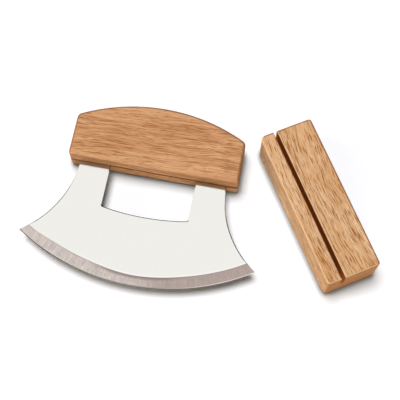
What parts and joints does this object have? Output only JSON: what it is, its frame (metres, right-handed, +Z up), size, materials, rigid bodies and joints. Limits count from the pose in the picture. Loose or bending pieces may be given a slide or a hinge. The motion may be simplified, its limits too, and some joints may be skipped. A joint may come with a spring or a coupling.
{
  "type": "ulu knife with stand",
  "caption": "Round-edged ulu knife with an arched wooden handle over a finger window, lying beside the slotted wooden block it stands in.",
  "frame": {"origin": "middle of the footprint of the knife and the stand together, on the table", "axes": "+X along the handle, +Y from the cutting edge to the handle, +Z up"},
  "size_m": [0.2266, 0.1266, 0.0254],
  "materials": {
    "blade_steel": "polished flats, ground bevel",
    "handle_wood": "oiled",
    "stand_wood": "oiled",
    "cured_resin": "cured, amber brown"
  },
  "bodies": {
    "stand": {"stand": "stand_wood"},
    "knife": {"blade": "blade_steel", "handle": "handle_wood", "tang_resin_left": "cured_resin", "tang_resin_right": "cured_resin"}
  },
  "joints": [
    {"name": "knife_lift", "type": "slide", "parent": "stand", "child": "knife", "axis": [0, 0, 1], "range_m": [0, 0.15]}
  ]
}
